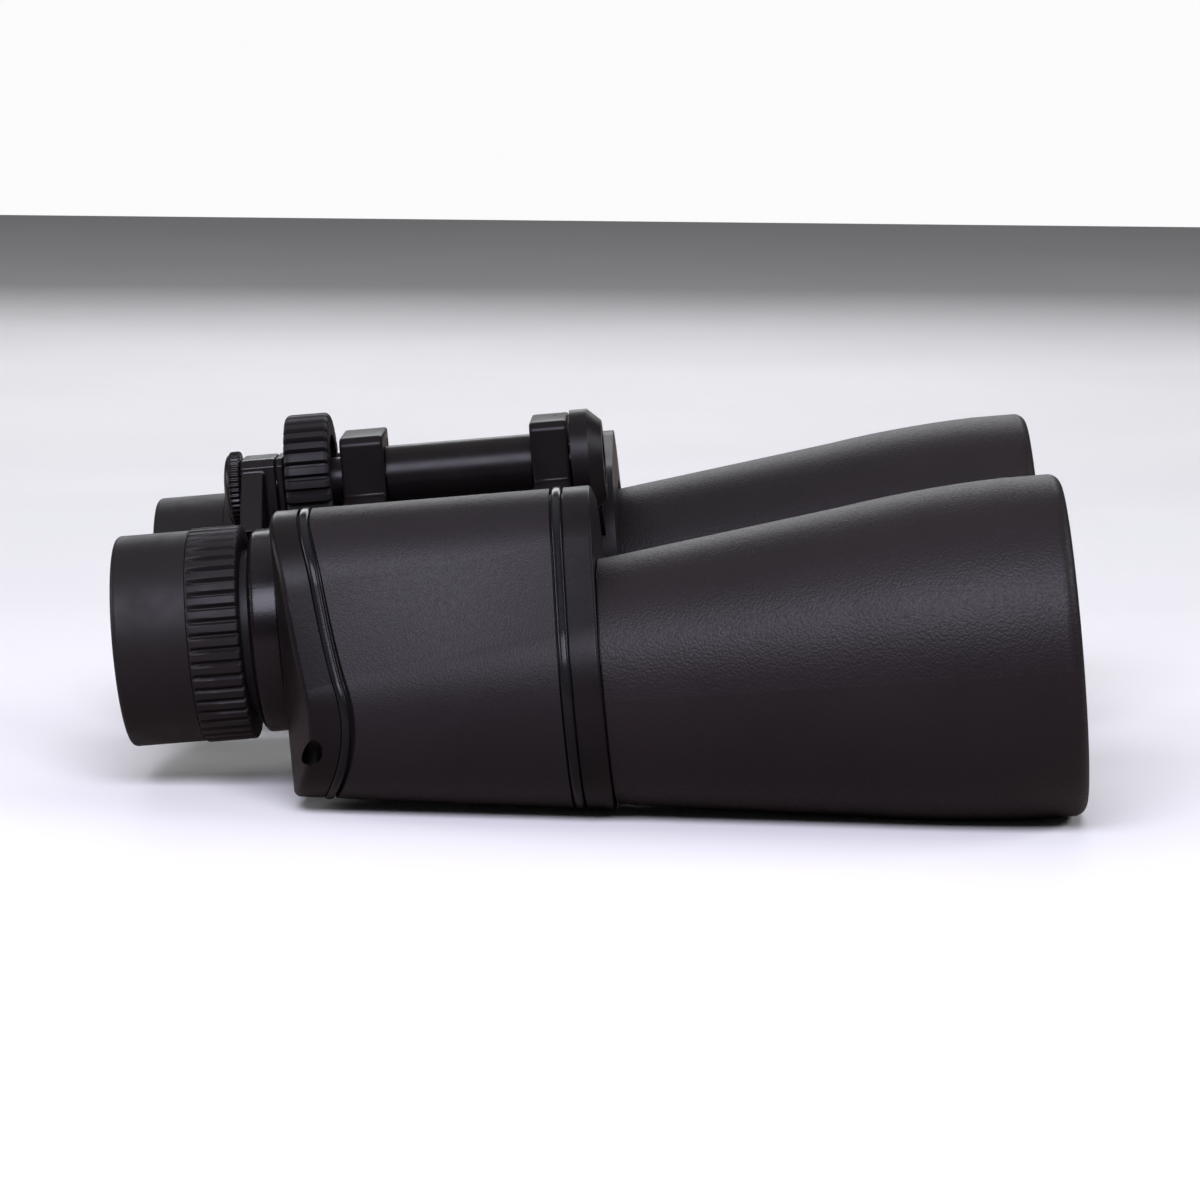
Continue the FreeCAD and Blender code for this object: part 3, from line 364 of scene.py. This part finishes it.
def grown(corners, step):
    """A clockwise outline moved outwards by a step."""
    made = []
    for before, here, after in zip(corners[-1:] + corners[:-1], corners, corners[1:] + corners[:1]):
        lines = []
        for start, end in ((before, here), (here, after)):
            along = Vector((end[0] - start[0], end[1] - start[1])).normalized()
            out = Vector((-along.y, along.x))
            lines.append((out, out.dot(Vector(start)) + step))
        (first, reach_a), (second, reach_b) = lines
        area = first.x * second.y - first.y * second.x
        made.append(((reach_a * second.y - reach_b * first.y) / area,
                     (first.x * reach_b - second.x * reach_a) / area))
    return made


def lug_skin(name, rear, front):
    """The painted, soft-edged skin of one block lug, open round the axle's bore."""
    corners = grown(LUG_LINE, SKIN_STEP)
    count = len(corners)
    made = bmesh.new()
    back, ahead = [[made.verts.new((x * MM, y * MM, z * MM)) for x, z in corners]
                   for y in (rear - SKIN_STEP, front + SKIN_STEP)]
    # Ends before sides: the order of the faces decides how the bevel rounds some corners.
    made.faces.new(back)
    made.faces.new(list(reversed(ahead)))
    for index in range(count):
        beside = (index + 1) % count
        made.faces.new((back[index], ahead[index], ahead[beside], back[beside]))
    bmesh.ops.recalc_face_normals(made, faces=made.faces)
    bmesh.ops.bevel(made, geom=list(made.edges), offset=SKIN_ROUNDING * MM, segments=3, profile=0.5,
                    affect="EDGES", clamp_overlap=True)
    ends = [face for face in made.faces if abs(face.normal.y) > 0.99 and len(face.verts) >= count]
    bmesh.ops.inset_region(made, faces=ends, thickness=SKIN_LIP * MM, use_even_offset=True)
    mouths = [edge for face in ends for edge in face.edges]
    bmesh.ops.delete(made, geom=ends, context="FACES_ONLY")
    bmesh.ops.bridge_loops(made, edges=mouths)
    new_piece(name, made, SKIN_CREASE, "housing_metal", "right_telescope")


def soften(node, voxel, rounds):
    """Give a cast piece soft edges: an even remesh and a few rounds of smoothing."""
    piece = frame["nodes"][node]
    remesh = piece.modifiers.new("cast_skin", "REMESH")
    remesh.mode = "VOXEL"
    remesh.voxel_size = voxel
    remesh.use_smooth_shade = True
    smooth = piece.modifiers.new("cast_edges", "SMOOTH")
    smooth.factor = 0.5
    smooth.iterations = rounds


def make_pieces():
    """The pieces that are added or replaced, and the two softened castings."""
    ribbed_ring("dioptre_ring_right", "dioptre_ring", "cup_rubber", 48, 0.95 * MM, 15.3 * MM,
                0.6 * MM, (0.04, 0.25), 1.2 * MM)
    ribbed_ring("focus_wheel_grip", "focus_wheel", "wheel_rubber", 32, 1.0 * MM, 9.02 * MM,
                1.1 * MM, (0.07, 0.24), 0.0)
    domed_disc("bridge_end_disc", "right_ocular", "bridge_metal", 44, 0.3 * MM, 1.3 * MM)
    for name, (rear, front) in LUG_STATIONS.items():
        lug_skin(name, rear, front)
    for node in ("bridge_arm_right", "bridge_arm_left"):
        soften(node, 0.25 * MM, 10)


# ---------------------------------------------------------------- stage
CAMERA_SPOT = Vector((0.9155, 0.0336, 0.1020))
CAMERA_YAW = 0.0387
CAMERA_DROP = 0.1398
CAMERA_ROLL = -0.0869
LENS = 145.06
SENSOR = 36.0
WORLD_ON_OBJECT = 0.08
WORLD_TO_EYE = 0.97
FLOOR_HALF = 1.6
FLOOR_GAP = 0.6 * MM
RIM_ROUND = 3.0 * MM
NEAR_WHITE = (0.95, 0.96, 1.0)
# Each lamp's place, its target, its size, its power in watts and its colour.
LAMPS = {
    "key": ((0.72, 0.02, 0.6), (0.03, 0, -0.02), (0.7, 0.4), 11.8, (0.84, 0.82, 1.0)),
    "top": ((-0.2, 0.0, 0.95), (0, 0, 0), (1.2, 1.2), 2.4, (1.0, 0.97, 0.98)),
    "front": ((0.05, 0.95, 0.45), (0, 0.05, -0.02), (0.8, 0.3), 4.0, NEAR_WHITE),
    "rear": ((0.05, -0.95, 0.4), (0, -0.06, -0.02), (0.8, 0.3), 4.0, NEAR_WHITE),
    "far_side": ((-0.95, 0.0, 0.4), (-0.03, 0, -0.02), (0.8, 0.3), 2.8, NEAR_WHITE),
}


def set_camera():
    """A long lens to the user's right, a little ahead and above, rolled with the resting tilt."""
    back, right, up = Vector((1, 0, 0)), Vector((0, 1, 0)), Vector((0, 0, 1))
    yaw = Matrix.Rotation(CAMERA_YAW, 3, up)
    back, right = yaw @ back, yaw @ right
    drop = Matrix.Rotation(-CAMERA_DROP, 3, right)
    back, up = drop @ back, drop @ up
    roll = Matrix.Rotation(CAMERA_ROLL, 3, back)
    right, up = roll @ right, roll @ up
    camera = add_object("camera", bpy.data.cameras.new("camera"))
    basis = Matrix((right, up, back)).transposed()
    camera.matrix_world = Matrix.Translation(CAMERA_SPOT) @ basis.to_4x4()
    camera.data.lens = LENS
    camera.data.sensor_width = SENSOR
    camera.data.clip_start = 0.01
    bpy.context.scene.camera = camera


def set_floor():
    """A plain pale floor, tangent to the barrels' front rims and the front plates' undersides.

    The camera sees it nearly white; on the object it counts as a darker, warmer one."""
    rim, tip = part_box("barrel_armour_right")
    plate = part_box("front_plate_right")[0]
    slope = (rim.z - plate.z) / (tip.y - RIM_ROUND)
    mesh = bpy.data.meshes.new("floor")
    corners = [(x, y, plate.z + slope * y - FLOOR_GAP) for x, y in
               ((-FLOOR_HALF, -FLOOR_HALF), (FLOOR_HALF, -FLOOR_HALF),
                (FLOOR_HALF, FLOOR_HALF), (-FLOOR_HALF, FLOOR_HALF))]
    mesh.from_pydata(corners, [], [(0, 1, 2, 3)])
    floor = add_object("floor", mesh)
    s = Shader("pale_floor")
    tone = s.ramp(s.noise(8.0), (0.3, (0.80, 0.80, 0.79)), (0.7, (0.84, 0.84, 0.83)))
    seen = s.node("ShaderNodeLightPath").outputs["Is Camera Ray"]
    mixed = s.node("ShaderNodeMixRGB", Fac=seen, Color1=(0.40, 0.33, 0.31, 1.0), Color2=tone)
    s.set(Base_Color=mixed.outputs["Color"], Roughness=0.8)
    mesh.materials.append(s.material)


def add_lamp(name, spot, target, size, power, colour):
    """A soft rectangular lamp at a spot, aimed at a target."""
    data = bpy.data.lights.new(name, "AREA")
    data.shape = "RECTANGLE"
    data.size, data.size_y = size
    data.energy = power
    data.color = colour
    lamp = add_object(name, data)
    lamp.location = spot
    lamp.rotation_euler = (Vector(target) - Vector(spot)).to_track_quat("-Z", "Y").to_euler()


def set_world():
    """A white surround, dimmer on the object than to the eye."""
    scene = bpy.context.scene
    scene.view_settings.view_transform = "Standard"
    world = bpy.data.worlds.new("studio")
    world.use_nodes = True
    tree = world.node_tree
    surround = tree.nodes["Background"]
    surround.inputs["Color"].default_value = (1.0, 1.0, 1.0, 1.0)
    path = tree.nodes.new("ShaderNodeLightPath")
    level = tree.nodes.new("ShaderNodeMapRange")
    level.inputs["To Min"].default_value = WORLD_ON_OBJECT
    level.inputs["To Max"].default_value = WORLD_TO_EYE
    tree.links.new(path.outputs["Is Camera Ray"], level.inputs["Value"])
    tree.links.new(level.outputs["Result"], surround.inputs["Strength"])
    scene.world = world


dress_cad_nodes()
make_pieces()
set_camera()
set_floor()
set_world()
for lamp_name, lamp in LAMPS.items():
    add_lamp(lamp_name, *lamp)
bpy.context.view_layer.update()
